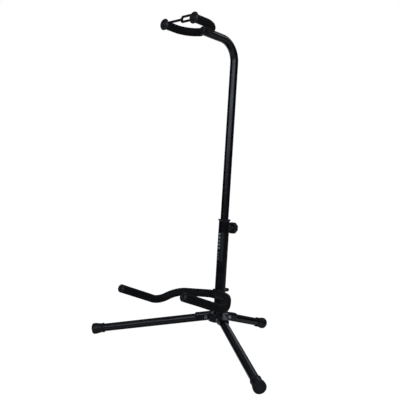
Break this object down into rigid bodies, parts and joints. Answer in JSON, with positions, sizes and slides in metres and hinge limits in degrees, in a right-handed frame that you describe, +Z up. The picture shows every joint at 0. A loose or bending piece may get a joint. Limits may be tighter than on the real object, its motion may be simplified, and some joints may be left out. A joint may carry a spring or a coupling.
{
  "type": "guitar stand",
  "caption": "Black tubular floor stand for a guitar: folding tripod legs, leaning telescopic post, foam-covered body cradle and neck yoke with a rubber strap.",
  "frame": {"origin": "on the floor, under the middle of the bounding box", "axes": "+Z up, -Y towards the guitar (the side of the cradle and the yoke); looking along +Y at the front of the stand, +X is to the right"},
  "size_m": [0.5524, 0.3902, 0.7494],
  "materials": {
    "black_paint": "satin-gloss black paint on steel tube",
    "foam": "matt black closed-cell foam sleeve",
    "black_plastic": "fine-textured black moulded plastic",
    "hub_plastic": "black moulded nylon",
    "rubber": "soft black moulded rubber",
    "strap_rubber": "flat black rubber band",
    "bright_steel": "zinc-plated steel",
    "black_steel": "black-plated steel fastener",
    "label": "printed film label with plain stripes"
  },
  "bodies": {
    "base": {"hub_core": "hub_plastic", "hub_screw": "black_steel", "post_foot_plug": "black_plastic", "lower_tube": "black_paint", "collar_bushing": "black_plastic", "tube_label": "label", "clamp_nut": "black_steel", "leg_bracket_left": "black_paint", "leg_bracket_right": "black_paint", "leg_bracket_rear": "black_paint", "leg_rivets": "bright_steel", "cradle_saddle": "black_paint", "cradle_rod": "black_paint", "cradle_foam_left": "foam", "cradle_foam_right": "foam", "cradle_cap_left": "black_plastic", "cradle_cap_right": "black_plastic", "cradle_bolt": "black_steel", "cradle_washer": "black_steel", "cradle_nut": "black_steel"},
    "leg_left": {"leg_tube_left": "black_paint", "leg_plug_left": "black_plastic", "foot_cap_left": "rubber"},
    "leg_right": {"leg_tube_right": "black_paint", "leg_plug_right": "black_plastic", "foot_cap_right": "rubber"},
    "leg_rear": {"leg_tube_rear": "black_paint", "leg_plug_rear": "black_plastic", "foot_cap_rear": "rubber"},
    "clamp_shoe": {"clamp_pad": "black_plastic"},
    "clamp": {"clamp_screw": "bright_steel", "clamp_knob": "black_plastic"},
    "guide": {"guide_ring": "black_plastic"},
    "neck": {"upper_tube": "black_paint", "mast_foot": "black_plastic", "gooseneck_plug": "black_plastic", "yoke_rod": "black_paint", "yoke_foam_left": "foam", "yoke_foam_right": "foam", "yoke_cap_left": "black_plastic", "yoke_cap_right": "black_plastic"},
    "strap": {"security_strap": "strap_rubber"}
  },
  "joints": [
    {"name": "leg_left_fold", "type": "hinge", "parent": "base", "child": "leg_left", "pos_m": [-0.02422, 0.00646, 0.06191], "axis": [0.527, -0.8467, 0.0741], "range_deg": [0, 77.7]},
    {"name": "leg_right_fold", "type": "hinge", "parent": "base", "child": "leg_right", "pos_m": [0.02422, 0.00646, 0.06191], "axis": [0.527, 0.8467, -0.0741], "range_deg": [0, 77.7]},
    {"name": "leg_rear_fold", "type": "hinge", "parent": "base", "child": "leg_rear", "pos_m": [0, 0.04981, 0.05812], "axis": [-1, 0, 0], "range_deg": [0, 76.9]},
    {"name": "height_slide", "type": "slide", "parent": "base", "child": "guide", "axis": [0, 0.0872, 0.9962], "range_m": [-0.05, 0.055]},
    {"name": "neck_turn", "type": "hinge", "parent": "guide", "child": "neck", "pos_m": [0, 0.03231, 0.18512], "axis": [0, 0.0872, 0.9962], "continuous": true},
    {"name": "clamp_travel", "type": "slide", "parent": "base", "child": "clamp_shoe", "axis": [0, 0.9962, -0.0872], "range_m": [0, 0.002]},
    {"name": "clamp_turn", "type": "hinge", "parent": "clamp_shoe", "child": "clamp", "pos_m": [0, 0.06546, 0.27257], "axis": [0, 0.9962, -0.0872], "range_deg": [0, 720]},
    {"name": "strap_swing", "type": "hinge", "parent": "neck", "child": "strap", "pos_m": [-0.0466, -0.09984, 0.73607], "axis": [0, 0.9919, -0.1271], "range_deg": [0, 95], "deforming": ["security_strap"]}
  ],
  "couplings": [
    {"joint": "clamp_travel", "follows": "clamp_turn", "m_per_rad": 0.00015915}
  ]
}
